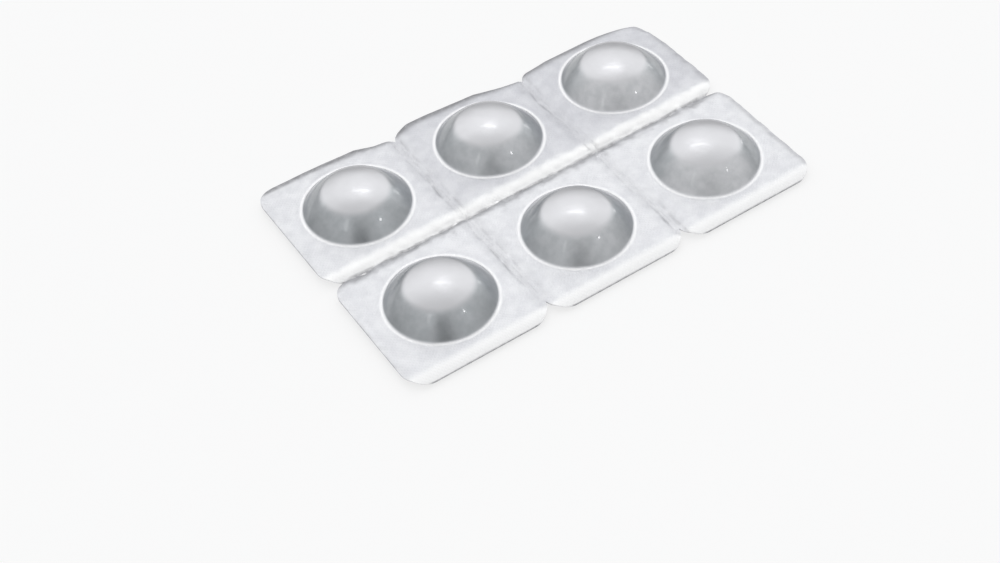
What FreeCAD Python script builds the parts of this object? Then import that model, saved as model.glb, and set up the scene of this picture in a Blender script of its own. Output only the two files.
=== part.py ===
"""Sealed blister pack with two rows of three round pockets, in millimetres.

The pack is a thin flange of foil laminate, cut into square cells that hang together at
perforated lines. Each cell has one round pocket, a cone with a domed cap, that stands up
from the flange. The flange falls away to every cell's edges, so the lines between cells lie
in shallow valleys, and the far long edge is curled down further than the rest. Rounded cell
corners leave a notch at each end of each line. Foil, lid and tablets are bonded and sealed
up out of sight, so the pack is one solid.

+X runs along the pack, +Y across it and +Z up, towards the pockets. The origin is under
the middle of the pack, at the height of its lowest edge.
"""

import math
import os
from enum import IntEnum

import FreeCAD
import Part
import Sketcher

ROOT_POINT = (-1, 1)


class AxisOf(IntEnum):
    """Which of a sketch's own axes a constraint holds."""

    VERTICAL = -2


class PointOf(IntEnum):
    """Which point of an edge a constraint holds."""

    START = 1
    END = 2
    CENTRE = 3


START, END, CENTRE = PointOf

DRIVING_SIZES = [
    ("pocket_columns", 3, "pockets along the pack"),
    ("pocket_rows", 2, "pockets across the pack"),
    ("foil_thickness", 0.2, "formed laminate and lid foil, sealed together"),
    ("foot_radius", 7.3, "where the pocket's wall would meet the flange"),
    ("cap_radius", 4.1, "where the pocket's wall would meet its cap"),
    ("wall_height", 2.98, "height of the wall above the flange"),
    ("cap_rise", 0.7, "height of the cap's dome"),
    ("foot_fillet", 0.8, "hollow between flange and wall"),
    ("shoulder_fillet", 2.5, "rounding between wall and cap"),
    ("flange_land", 0.7, "level flange between the wall's foot and the nearest fall"),
    ("row_fall_width", 2.0, "width of the fall beside the lines that run along the pack"),
    ("row_fall_depth", 0.7, "depth of that fall"),
    ("far_fall_depth", 1.1, "depth of that fall along the far long edge"),
    ("column_fall_width", 2.0, "width of the fall beside the lines that run across it"),
    ("column_fall_depth", 0.35, "depth of that fall"),
    ("corner_radius", 3.0, "rounding of each cell's outer corners"),
    ("notch_depth", 2.3, "from the pack's edge to the tip of a notch"),
    ("slits_per_cell", 6, "perforation cuts along one side of a cell"),
    ("slit_bridge", 0.9, "foil left between two cuts"),
    ("slit_width", 0.2, "width of a cut"),
]

CELL_LENGTH = "2 * (sizes.foot_radius + sizes.flange_land + sizes.column_fall_width)"
CELL_WIDTH = "2 * (sizes.foot_radius + sizes.flange_land + sizes.row_fall_width)"
DEEPEST_FALL = "max(sizes.row_fall_depth; sizes.far_fall_depth; sizes.column_fall_depth)"


class Sizes:
    """The driving sizes by name, and the lengths that follow from them."""

    def __init__(self):
        """Takes every driving size as an attribute of the same name."""
        for name, value, _ in DRIVING_SIZES:
            setattr(self, name, value)

    @property
    def cell_length(self):
        """One cell along the pack."""
        return 2 * (self.foot_radius + self.flange_land + self.column_fall_width)

    @property
    def cell_width(self):
        """One cell across the pack."""
        return 2 * (self.foot_radius + self.flange_land + self.row_fall_width)


size = Sizes()


def make_sheet(doc):
    """Puts the driving sizes into a spreadsheet, one named cell each."""
    sheet = doc.addObject("Spreadsheet::Sheet", "sizes")
    for row, (name, value, meaning) in enumerate(DRIVING_SIZES, start=1):
        sheet.set(f"A{row}", name)
        sheet.set(f"B{row}", str(value))
        sheet.set(f"C{row}", meaning)
        sheet.setAlias(f"B{row}", name)
    doc.recompute()
    return sheet


def origin_feature(body, role):
    """The body's own origin plane or axis with that role."""
    return next(f for f in body.Origin.OriginFeatures if f.Role == role)


def add_sketch(body, name, plane, offset=None):
    """An empty sketch on one of the body's planes, its own origin moved by expressions."""
    sketch = body.newObject("Sketcher::SketchObject", name)
    sketch.AttachmentSupport = [(origin_feature(body, plane), "")]
    sketch.MapMode = "FlatFace"
    for axis, expression in (offset or {}).items():
        sketch.setExpression(f"AttachmentOffset.Base.{axis}", expression)
    return sketch


def add_line(sketch, start, end):
    """A straight edge between two points of the sketch."""
    first = FreeCAD.Vector(*start, 0)
    second = FreeCAD.Vector(*end, 0)
    return sketch.addGeometry(Part.LineSegment(first, second), False)


def add_arc(sketch, centre, radius, start, end):
    """A counter-clockwise arc between two angles in degrees."""
    circle = Part.Circle(FreeCAD.Vector(*centre, 0), FreeCAD.Vector(0, 0, 1), radius)
    arc = Part.ArcOfCircle(circle, math.radians(start), math.radians(end))
    return sketch.addGeometry(arc, False)


def bind(sketch, kind, *arguments):
    """Adds a dimension whose value comes from the expression given last."""
    *places, value, expression = arguments
    index = sketch.addConstraint(Sketcher.Constraint(kind, *places, value))
    sketch.setExpression(f"Constraints[{index}]", expression)


def hold(sketch, kind, *places):
    """Adds a constraint that has no value, such as a tangency."""
    sketch.addConstraint(Sketcher.Constraint(kind, *places))


def turned(point, quarters):
    """A point turned by quarter turns about the origin."""
    for _ in range(quarters):
        point = (-point[1], point[0])
    return point


class OutlineSide:
    """One side of the pack's outline, drawn as the lower side and turned into place."""

    def __init__(self, sketch, quarters):
        """Notes which cells the side passes and which way its coordinates run."""
        self.sketch = sketch
        self.quarters = quarters
        runs_along_x = quarters % 2 == 0
        columns = ("sizes.pocket_columns", CELL_LENGTH)
        rows = ("sizes.pocket_rows", CELL_WIDTH)
        own, other = (columns, rows) if runs_along_x else (rows, columns)
        self.count_name, self.cell_name = own
        self.half_depth = f"{other[0]} * {other[1]} / 2"
        lengths = [
            (size.pocket_columns, size.cell_length),
            (size.pocket_rows, size.cell_width),
        ]
        if not runs_along_x:
            lengths.reverse()
        self.cells, self.cell = lengths[0]
        self.half = lengths[1][0] * lengths[1][1] / 2
        self.level = "Horizontal" if runs_along_x else "Vertical"
        self.along = "DistanceX" if runs_along_x else "DistanceY"
        self.away = "DistanceY" if runs_along_x else "DistanceX"
        self.along_sign = "" if quarters in (0, 1) else "-"
        self.away_sign = "-" if quarters in (0, 3) else ""

    def point(self, x, y):
        """A point of the lower side, turned into place."""
        return turned((x, y), self.quarters)

    def part_of(self, direction, point):
        """The coordinate of a turned point that a distance in that direction measures."""
        return point[0] if direction == "DistanceX" else point[1]

    def draw_edge(self, start_x, end_x, previous):
        """Draws one cell's straight edge, tangent to the arc before it."""
        start = self.point(start_x, -self.half)
        line = add_line(self.sketch, start, self.point(end_x, -self.half))
        hold(self.sketch, self.level, line)
        bind(
            self.sketch,
            self.away,
            *ROOT_POINT,
            line,
            START,
            self.part_of(self.away, start),
            f"{self.away_sign}({self.half_depth})",
        )
        if previous is not None:
            hold(self.sketch, "Tangent", previous, END, line, START)
        return line

    def draw_corner(self, line, end_x):
        """Draws the rounded corner that closes the side."""
        turn = 90 * self.quarters
        centre = self.point(end_x, -self.half + size.corner_radius)
        corner = add_arc(self.sketch, centre, size.corner_radius, turn - 90, turn)
        hold(self.sketch, "Tangent", line, END, corner, START)
        bind(self.sketch, "Radius", corner, size.corner_radius, "sizes.corner_radius")
        return corner

    def draw_notch(self, line, line_x, number, reach):
        """Draws the notch between two cells: two corners that meet in a sharp tip."""
        radius = size.corner_radius
        turn = 90 * self.quarters
        bend = math.degrees(math.acos(1 - size.notch_depth / radius))
        left_centre = self.point(line_x - reach, -self.half + radius)
        right_centre = self.point(line_x + reach, -self.half + radius)
        falling = add_arc(self.sketch, left_centre, radius, turn - 90, turn - 90 + bend)
        rising = add_arc(self.sketch, right_centre, radius, turn - 90 - bend, turn - 90)
        hold(self.sketch, "Tangent", line, END, falling, START)
        hold(self.sketch, "Coincident", falling, END, rising, START)
        for arc in (falling, rising):
            bind(self.sketch, "Radius", arc, radius, "sizes.corner_radius")
        tip = self.point(line_x, -self.half + size.notch_depth)
        bind(
            self.sketch,
            self.along,
            *ROOT_POINT,
            falling,
            END,
            self.part_of(self.along, tip),
            f"{self.along_sign}({number} - {self.count_name} / 2) * {self.cell_name}",
        )
        bind(
            self.sketch,
            self.away,
            *ROOT_POINT,
            falling,
            END,
            self.part_of(self.away, tip),
            f"{self.away_sign}({self.half_depth} - sizes.notch_depth)",
        )
        return rising

    def draw(self, previous):
        """Draws the side after the arc before it and returns the arc that closes it."""
        radius = size.corner_radius
        reach = math.sqrt(size.notch_depth * (2 * radius - size.notch_depth))
        left = -self.cells * self.cell / 2
        start_x = left + radius
        for number in range(1, self.cells):
            line_x = left + number * self.cell
            line = self.draw_edge(start_x, line_x - reach, previous)
            previous = self.draw_notch(line, line_x, number, reach)
            start_x = line_x + reach
        end_x = -left - radius
        line = self.draw_edge(start_x, end_x, previous)
        return self.draw_corner(line, end_x)


def draw_outline(sketch):
    """Draws the pack's outline: straight cell edges, rounded corners and notches."""
    corner = None
    for quarters in range(4):
        corner = OutlineSide(sketch, quarters).draw(corner)
    hold(sketch, "Tangent", corner, END, 0, START)


def draw_valley(sketch, depth_name, width_name):
    """Draws a valley's section: two falls, round at the top, that meet in a crease."""
    depth = getattr(size, depth_name)
    width = getattr(size, width_name)
    above = size.foil_thickness
    radius = (width**2 + depth**2) / (2 * depth)
    bend = math.degrees(math.asin(width / radius))
    left = add_arc(sketch, (-width, -radius), radius, 90 - bend, 90)
    right = add_arc(sketch, (width, -radius), radius, 90, 90 + bend)
    right_side = add_line(sketch, (width, 0), (width, above))
    top = add_line(sketch, (width, above), (-width, above))
    left_side = add_line(sketch, (-width, above), (-width, 0))
    hold(sketch, "Coincident", left, START, right, END)
    hold(sketch, "Coincident", right, START, right_side, START)
    hold(sketch, "Coincident", right_side, END, top, START)
    hold(sketch, "Coincident", top, END, left_side, START)
    hold(sketch, "Coincident", left_side, END, left, END)
    hold(sketch, "Vertical", right_side)
    hold(sketch, "Vertical", left_side)
    hold(sketch, "Horizontal", top)
    hold(sketch, "Vertical", left, CENTRE, left, END)
    hold(sketch, "Vertical", right, CENTRE, right, START)
    bind(sketch, "DistanceX", *ROOT_POINT, right, START, width, f"sizes.{width_name}")
    bind(sketch, "DistanceX", *ROOT_POINT, left, END, -width, f"-sizes.{width_name}")
    bind(sketch, "DistanceY", *ROOT_POINT, right, START, 0, "0")
    bind(sketch, "DistanceY", *ROOT_POINT, left, END, 0, "0")
    bind(sketch, "DistanceY", *ROOT_POINT, top, START, above, "sizes.foil_thickness")
    bind(sketch, "DistanceX", *ROOT_POINT, left, START, 0, "0")
    bind(sketch, "DistanceY", *ROOT_POINT, left, START, -depth, f"-sizes.{depth_name}")


def through_all(pocket):
    """Makes a pocket cut through everything, both ways from its sketch."""
    pocket.SideType = "Symmetric"
    pocket.Type = "ThroughAll"


def set_pattern(pattern, axis, spacing, occurrences):
    """Sets a pattern's direction, spacing and number of copies."""
    pattern.Direction = (axis, [""])
    pattern.Mode = "Spacing"
    pattern.setExpression("Offset", spacing)
    pattern.setExpression("Occurrences", occurrences)


def add_grid(body, name, feature, along, across):
    """Repeats a feature both ways, each given as its axis role, spacing and number."""
    grid = body.newObject("PartDesign::MultiTransform", name)
    grid.Originals = [feature]
    patterns = []
    for suffix, (role, spacing, occurrences) in (("along", along), ("across", across)):
        pattern = body.newObject("PartDesign::LinearPattern", f"{name}_{suffix}")
        set_pattern(pattern, origin_feature(body, role), spacing, occurrences)
        patterns.append(pattern)
    grid.Transformations = patterns
    body.Tip = grid
    body.Document.recompute()


def cut_valley(body, label, plane, place, depth_name, width_name):
    """Cuts one valley along a line that crosses the plane at the place given."""
    sketch = add_sketch(body, f"{label}_section", plane, {"x": place})
    draw_valley(sketch, depth_name, width_name)
    cut = body.newObject("PartDesign::Pocket", f"{label}_cut")
    cut.Profile = sketch
    through_all(cut)
    body.Tip = cut
    body.Document.recompute()
    return cut


def repeat_valley(body, label, cut, axis, spacing, occurrences):
    """Repeats a valley along an axis."""
    pattern = body.newObject("PartDesign::LinearPattern", f"{label}s")
    pattern.Originals = [cut]
    set_pattern(pattern, origin_feature(body, axis), spacing, occurrences)
    body.Tip = pattern
    body.Document.recompute()


def add_block(doc, name):
    """A block of the pack's outline, its top face shaped as the flange's upper side is."""
    body = doc.addObject("PartDesign::Body", name)
    outline = add_sketch(body, f"{name}_outline", "XY_Plane")
    draw_outline(outline)
    pad = body.newObject("PartDesign::Pad", f"{name}_pad")
    pad.Profile = outline
    pad.Reversed = True
    pad.setExpression("Length", f"{DEEPEST_FALL} + 2 * sizes.foil_thickness")
    doc.recompute()
    near_edge = f"-sizes.pocket_rows * {CELL_WIDTH} / 2"
    row = f"{name}_row_valley"
    cut = cut_valley(body, row, "YZ_Plane", near_edge, "row_fall_depth", "row_fall_width")
    repeat_valley(body, row, cut, "Y_Axis", CELL_WIDTH, "sizes.pocket_rows")
    far_edge = f"sizes.pocket_rows * {CELL_WIDTH} / 2"
    far = f"{name}_far_valley"
    cut_valley(body, far, "YZ_Plane", far_edge, "far_fall_depth", "row_fall_width")
    left_edge = f"-sizes.pocket_columns * {CELL_LENGTH} / 2"
    column = f"{name}_column_valley"
    depth, width = "column_fall_depth", "column_fall_width"
    cut = cut_valley(body, column, "XZ_Plane", left_edge, depth, width)
    lines = "sizes.pocket_columns + 1"
    repeat_valley(body, column, cut, "X_Axis", CELL_LENGTH, lines)
    return body


def draw_pocket(sketch):
    """Draws half of a pocket's section beside its axis: base, wall and cap."""
    foot = size.foot_radius
    cap = size.cap_radius
    height = size.wall_height
    rise = size.cap_rise
    sunk = size.foil_thickness / 2
    cap_curve = (cap**2 + rise**2) / (2 * rise)
    cap_bend = math.degrees(math.asin(cap / cap_curve))
    axis = add_line(sketch, (0, height + rise), (0, -sunk))
    floor = add_line(sketch, (0, -sunk), (foot, -sunk))
    skirt = add_line(sketch, (foot, -sunk), (foot, 0))
    wall = add_line(sketch, (foot, 0), (cap, height))
    dome = add_arc(sketch, (0, height + rise - cap_curve), cap_curve, 90 - cap_bend, 90)
    hold(sketch, "Coincident", axis, END, floor, START)
    hold(sketch, "Coincident", floor, END, skirt, START)
    hold(sketch, "Coincident", skirt, END, wall, START)
    hold(sketch, "Coincident", wall, END, dome, START)
    hold(sketch, "Coincident", dome, END, axis, START)
    hold(sketch, "PointOnObject", axis, START, AxisOf.VERTICAL)
    hold(sketch, "PointOnObject", axis, END, AxisOf.VERTICAL)
    hold(sketch, "PointOnObject", dome, CENTRE, AxisOf.VERTICAL)
    hold(sketch, "Horizontal", floor)
    hold(sketch, "Vertical", skirt)
    bind(sketch, "DistanceY", *ROOT_POINT, axis, END, -sunk, "-sizes.foil_thickness / 2")
    bind(sketch, "DistanceX", *ROOT_POINT, wall, START, foot, "sizes.foot_radius")
    bind(sketch, "DistanceY", *ROOT_POINT, wall, START, 0, "0")
    bind(sketch, "DistanceX", *ROOT_POINT, wall, END, cap, "sizes.cap_radius")
    bind(sketch, "DistanceY", *ROOT_POINT, wall, END, height, "sizes.wall_height")
    bind(
        sketch,
        "DistanceY",
        *ROOT_POINT,
        dome,
        END,
        height + rise,
        "sizes.wall_height + sizes.cap_rise",
    )


def add_pockets(body):
    """Raises one pocket from the first cell and repeats it over the grid of cells."""
    sketch = add_sketch(
        body,
        "pocket_section",
        "XZ_Plane",
        {
            "x": f"-(sizes.pocket_columns - 1) * {CELL_LENGTH} / 2",
            "z": f"(sizes.pocket_rows - 1) * {CELL_WIDTH} / 2",
        },
    )
    draw_pocket(sketch)
    dome = body.newObject("PartDesign::Revolution", "pocket_dome")
    dome.Profile = sketch
    dome.ReferenceAxis = (sketch, ["V_Axis"])
    dome.Angle = 360
    body.Document.recompute()
    add_grid(
        body,
        "pockets",
        dome,
        ("X_Axis", CELL_LENGTH, "sizes.pocket_columns"),
        ("Y_Axis", CELL_WIDTH, "sizes.pocket_rows"),
    )


def circle_edges(shape, radius):
    """Names of the shape's level circular edges of that radius."""
    names = []
    for number, edge in enumerate(shape.Edges, start=1):
        if edge.Degenerated:
            continue
        curve = edge.Curve
        if isinstance(curve, Part.Circle) and abs(curve.Radius - radius) < 1e-4:
            if abs(abs(curve.Axis.z) - 1) < 1e-6:
                names.append(f"Edge{number}")
    return names


def add_fillet(body, name, edge_radius, size_name):
    """Rounds the circular edges of one radius on every pocket."""
    base = body.Tip
    fillet = body.newObject("PartDesign::Fillet", name)
    fillet.Base = (base, circle_edges(base.Shape, edge_radius))
    fillet.setExpression("Radius", f"sizes.{size_name}")
    body.Tip = fillet
    body.Document.recompute()


def draw_slit(sketch, length, half_length, runs_along_x):
    """Draws one slit, a rectangle about the sketch's origin."""
    width = "sizes.slit_width"
    half_width = size.slit_width / 2
    if runs_along_x:
        half_x, half_y, x_size, y_size = half_length, half_width, length, width
    else:
        half_x, half_y, x_size, y_size = half_width, half_length, width, length
    corners = [(-half_x, -half_y), (half_x, -half_y), (half_x, half_y), (-half_x, half_y)]
    edges = [add_line(sketch, corners[i], corners[(i + 1) % 4]) for i in range(4)]
    for i in range(4):
        hold(sketch, "Coincident", edges[i], END, edges[(i + 1) % 4], START)
        hold(sketch, ("Horizontal", "Vertical")[i % 2], edges[i])
    hold(sketch, "Symmetric", edges[0], START, edges[2], START, *ROOT_POINT)
    lower, right = edges[:2]
    bind(sketch, "DistanceX", lower, START, lower, END, 2 * half_x, x_size)
    bind(sketch, "DistanceY", right, START, right, END, 2 * half_y, y_size)


def add_slits(body, label, runs_along_x):
    """Cuts the perforation along every line between cells that runs one way.

    Every cell's side is divided into equal steps, each with a slit in its middle, so the
    lines always cross on foil. The steps that would reach a notch are left uncut.
    """
    columns = ("X_Axis", "sizes.pocket_columns", CELL_LENGTH)
    rows = ("Y_Axis", "sizes.pocket_rows", CELL_WIDTH)
    own, other = (columns, rows) if runs_along_x else (rows, columns)
    cell = size.cell_length if runs_along_x else size.cell_width
    lines = (size.pocket_rows if runs_along_x else size.pocket_columns) - 1
    if lines < 1:
        return
    own_axis, own_count, own_cell = own
    other_axis, other_count, other_cell = other
    step = f"{own_cell} / sizes.slits_per_cell"
    uncut = f"ceil((sizes.notch_depth + sizes.slit_bridge / 2) / ({step}))"
    slits = f"{own_count} * sizes.slits_per_cell - 2 * {uncut}"
    length = f"{step} - sizes.slit_bridge"
    along, across = ("x", "y") if runs_along_x else ("y", "x")
    sketch = add_sketch(
        body,
        f"{label}_outline",
        "XY_Plane",
        {
            along: f"-({slits} - 1) * {step} / 2",
            across: f"-({other_count} - 2) * {other_cell} / 2",
        },
    )
    half_length = (cell / size.slits_per_cell - size.slit_bridge) / 2
    draw_slit(sketch, length, half_length, runs_along_x)
    cut = body.newObject("PartDesign::Pocket", f"{label}_cut")
    cut.Profile = sketch
    through_all(cut)
    add_grid(
        body,
        f"{label}s",
        cut,
        (own_axis, step, slits),
        (other_axis, other_cell, f"{other_count} - 1"),
    )


def build_pack(doc):
    """Builds the whole pack: flange, pockets, fillets and perforation."""
    pack = add_block(doc, "flange")
    under = add_block(doc, "under")
    under.setExpression("Placement.Base.z", "-sizes.foil_thickness")
    doc.recompute()
    hollow = pack.newObject("PartDesign::Boolean", "flange_underside")
    hollow.setObjects([under])
    hollow.Type = "Cut"
    pack.Tip = hollow
    doc.recompute()
    add_pockets(pack)
    add_fillet(pack, "pocket_feet", size.foot_radius, "foot_fillet")
    add_fillet(pack, "pocket_shoulders", size.cap_radius, "shoulder_fillet")
    add_slits(pack, "row_slit", True)
    add_slits(pack, "column_slit", False)
    pack.setExpression("Placement.Base.z", f"{DEEPEST_FALL} + sizes.foil_thickness")
    pack.Label = "blister_pack"
    doc.recompute()
    return pack


def check_and_export(doc, parts):
    """Stops if anything failed to build, then writes each sub-part to its own file."""
    for item in doc.Objects:
        if "Invalid" in item.State or "Error" in item.State:
            raise RuntimeError(f"{item.Label} failed: {item.State}")
    os.makedirs("parts", exist_ok=True)
    for part in parts:
        shape = part.Shape
        if shape.isNull() or not shape.isValid():
            raise RuntimeError(f"{part.Label} has no valid shape")
        shape.exportStep(f"parts/{part.Label}.step")
        box = shape.BoundBox
        print(
            f"{part.Label}: {len(shape.Solids)} solid, {len(shape.Faces)} faces, "
            f"{shape.Volume:.2f} mm3, {box.XLength:.2f} x {box.YLength:.2f} x "
            f"{box.ZLength:.2f} mm, lowest {box.ZMin:.3f}"
        )


def main():
    """Builds the document and writes its parts."""
    doc = FreeCAD.newDocument("blister_pack")
    make_sheet(doc)
    pack = build_pack(doc)
    check_and_export(doc, [pack])


main()
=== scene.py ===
"""Looks of a sealed foil blister pack: formed foil, lid foil, studio and camera.

The pack is two bonded sheets. The formed foil has the pockets, the falls to every cell's
edges, the perforation and the cut outline as real geometry, and the lid foil closes it from
below. Lengths in the classes are in millimetres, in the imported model's frame, and meshes
are made in metres.
"""

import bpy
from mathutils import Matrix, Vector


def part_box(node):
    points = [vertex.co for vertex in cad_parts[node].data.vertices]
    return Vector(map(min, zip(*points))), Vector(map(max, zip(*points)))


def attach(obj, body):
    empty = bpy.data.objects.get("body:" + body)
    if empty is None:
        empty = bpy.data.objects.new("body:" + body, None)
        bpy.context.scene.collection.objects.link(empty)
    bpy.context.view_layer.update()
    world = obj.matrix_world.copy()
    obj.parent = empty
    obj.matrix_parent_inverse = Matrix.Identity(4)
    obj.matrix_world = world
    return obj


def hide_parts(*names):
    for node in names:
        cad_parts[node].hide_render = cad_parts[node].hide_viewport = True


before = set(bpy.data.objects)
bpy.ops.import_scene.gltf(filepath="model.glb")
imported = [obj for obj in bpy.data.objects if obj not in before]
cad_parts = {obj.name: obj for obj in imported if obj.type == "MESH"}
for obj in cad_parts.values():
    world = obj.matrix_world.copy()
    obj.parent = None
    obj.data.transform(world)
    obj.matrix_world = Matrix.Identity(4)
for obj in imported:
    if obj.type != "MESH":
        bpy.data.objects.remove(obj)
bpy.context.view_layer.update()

import logging
import math
from dataclasses import dataclass, field
from enum import Enum

import bmesh
import bpy
import numpy as np
from mathutils import Matrix, Vector

MM = 0.001
NODE = "blister_pack"
BODY = "root"
LOG = logging.getLogger("blister_pack")


class LineKind(Enum):
    """Where a line of cell edges lies in the pack."""

    NEAR_EDGE = "near_edge"
    FAR_EDGE = "far_edge"
    ROW_CREASE = "row_crease"
    LEFT_EDGE = "left_edge"
    RIGHT_EDGE = "right_edge"
    COLUMN_CREASE = "column_crease"


@dataclass(frozen=True)
class EdgeBand:
    """A band beside one kind of line, full up to start and gone at end; DARK_BANDS paint shade
    with it and PALE_BANDS paint highlights.

    side is 1 for the foil at larger x or y than the line, and -1 for the other side.
    Distances are in millimetres, and broken is how far noise moves the band's end.
    """

    kind: LineKind
    side: int
    share: float
    start: float
    end: float
    broken: float = 0.0


@dataclass(frozen=True)
class FoilZones:
    """Where the finish's masks begin and how far they run, in millimetres; most of these masks
    place painted shade, highlights and sheen.

    facing_start and facing_run are shares of a full turn towards CAMERA_SIDE, where the pocket
    walls get painted sheen.
    """

    formed_start: float = 0.1
    formed_run: float = 0.26
    # bead_inset and bead_reach place the painted highlight at each pocket's foot.
    bead_inset: float = 0.15
    bead_reach: float = 0.35
    # Where the painted sheen on the camera-facing pocket walls begins along the pack and how far
    # it runs.
    wall_sheen_left: float = -24.0
    wall_sheen_run: float = 48.0
    # Where the painted shade of the sagging far right cells begins and how far it runs.
    sag_shade_left: float = -20.0
    sag_shade_run: float = 18.0
    sag_shade_near: float = -1.0
    sag_shade_depth: float = 6.0
    # bridge_reach and bridge_light lift the painted shade of the row crease where its bridges
    # hold it up, a painted highlight on the bridges.
    bridge_reach: float = 0.9
    bridge_light: float = 0.8
    facing_start: float = 0.1
    facing_run: float = 0.75
    broken_scale: float = 1.2
    curl_depth: float = 0.65
    past_line: float = 0.05


ZONES = FoilZones()
# The camera's side of the pack; pocket walls that face it get painted sheen.
CAMERA_SIDE = (-0.482, -0.876)
# Bands of painted shade beside the cells' edges and creases, where the foil falls away from the
# light, with a thin painted shadow along the near and left edges.
DARK_BANDS = (
    EdgeBand(LineKind.FAR_EDGE, -1, 1.0, 0.4, 2.1),
    EdgeBand(LineKind.ROW_CREASE, -1, 0.66, 0.15, 1.7, 0.45),
    EdgeBand(LineKind.ROW_CREASE, 1, 0.8, 0.0, 0.3, 0.45),
    EdgeBand(LineKind.NEAR_EDGE, 1, 1.0, 0.0, 0.12),
    EdgeBand(LineKind.LEFT_EDGE, 1, 0.6, 0.0, 0.12),
    EdgeBand(LineKind.RIGHT_EDGE, -1, 0.35, 0.0, 1.2),
    EdgeBand(LineKind.COLUMN_CREASE, -1, 0.16, 0.3, 1.0),
    EdgeBand(LineKind.COLUMN_CREASE, 1, 0.12, 0.2, 0.8),
)
# Bands of painted highlight on the lips that slope towards the camera's side: beside the near
# edge and on the far row's lip at the crease.
PALE_BANDS = (
    EdgeBand(LineKind.NEAR_EDGE, 1, 0.9, 0.9, 2.2),
    EdgeBand(LineKind.ROW_CREASE, 1, 1.0, 0.9, 2.4, 0.12),
)


class CornerKind(Enum):
    """What a cell's corner is in the pack's outline."""

    OUTER = "outer"
    NOTCH = "notch"
    CROSSING = "crossing"


class SmoothNoise:
    """Seeded value noise in the plane, smooth and with a period that is never reached."""

    def __init__(self, seed: int, cell: float, size: int = 96) -> None:
        """Makes the lattice of random values.

        Args:
            seed: Seed of the random values.
            cell: Spacing of the lattice, in millimetres.
            size: Number of lattice points each way.
        """
        self.cell = cell
        self.size = size
        self.values = np.random.default_rng(seed).uniform(-1.0, 1.0, (size, size))

    def at(self, x: np.ndarray, y: np.ndarray) -> np.ndarray:
        """Reads the noise.

        Args:
            x: Places along the pack, in millimetres.
            y: Places across the pack, in millimetres.

        Returns:
            Values from -1 to 1.
        """
        u = x / self.cell + self.size / 2
        v = y / self.cell + self.size / 2
        i = np.floor(u).astype(int)
        j = np.floor(v).astype(int)
        fu = smooth(u - i)
        fv = smooth(v - j)
        n = self.size
        low = self.values[i % n, j % n] * (1 - fu) + self.values[(i + 1) % n, j % n] * fu
        high = (
            self.values[i % n, (j + 1) % n] * (1 - fu)
            + self.values[(i + 1) % n, (j + 1) % n] * fu
        )
        return low * (1 - fv) + high * fv


def smooth(t: np.ndarray) -> np.ndarray:
    """Eases from 0 to 1 with level ends, as a fifth-degree curve."""
    t = np.clip(t, 0.0, 1.0)
    return t * t * t * (t * (6 * t - 15) + 10)


def ridge(distance: np.ndarray, width: float) -> np.ndarray:
    """A rounded ridge of height 1 that fades out at the given half width."""
    return 1.0 - smooth(np.abs(distance) / width)


@dataclass
class PackLayout:
    """Where the pack's cells and lines lie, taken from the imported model's box."""

    low: Vector
    high: Vector
    columns: int = 3
    rows: int = 2
    corner_radius: float = 3.0
    notch_depth: float = 2.3
    slits_per_cell: int = 6
    slit_bridge: float = 0.9
    slit_gap: float = 0.012
    slit_taper: float = 0.1

    @property
    def length(self) -> float:
        """The pack's length, in millimetres."""
        return (self.high.x - self.low.x) / MM

    @property
    def width(self) -> float:
        """The pack's width, in millimetres."""
        return (self.high.y - self.low.y) / MM

    @property
    def height(self) -> float:
        """The pack's height, in millimetres."""
        return (self.high.z - self.low.z) / MM

    @property
    def cell(self) -> tuple[float, float]:
        """One cell's length and width, in millimetres."""
        return self.length / self.columns, self.width / self.rows

    def centre(self, column: int, row: int) -> tuple[float, float]:
        """The middle of a cell, in millimetres.

        Args:
            column: Number of the cell along the pack, from 0.
            row: Number of the cell across the pack, from 0.

        Returns:
            Its place along and across the pack.
        """
        length, width = self.cell
        x = (column - (self.columns - 1) / 2) * length
        y = (row - (self.rows - 1) / 2) * width
        return x, y

    def column_lines(self) -> list[tuple[float, LineKind]]:
        """The lines that run across the pack, with their places along it.

        Returns:
            Each line's place in millimetres and its kind, from left to right.
        """
        kinds = [LineKind.LEFT_EDGE]
        kinds += [LineKind.COLUMN_CREASE] * (self.columns - 1)
        kinds += [LineKind.RIGHT_EDGE]
        return [(-self.length / 2 + i * self.cell[0], k) for i, k in enumerate(kinds)]

    def row_lines(self) -> list[tuple[float, LineKind]]:
        """The lines that run along the pack, with their places across it.

        Returns:
            Each line's place in millimetres and its kind, from near to far.
        """
        kinds = [LineKind.NEAR_EDGE]
        kinds += [LineKind.ROW_CREASE] * (self.rows - 1)
        kinds += [LineKind.FAR_EDGE]
        return [(-self.width / 2 + i * self.cell[1], k) for i, k in enumerate(kinds)]

    def open_sides(self, column: int, row: int) -> list[bool]:
        """Which sides of a cell lie on the pack's outline: right, far, left and near.

        Args:
            column: Number of the cell along the pack, from 0.
            row: Number of the cell across the pack, from 0.

        Returns:
            One truth value to a side.
        """
        return [
            column == self.columns - 1,
            row == self.rows - 1,
            column == 0,
            row == 0,
        ]


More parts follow.
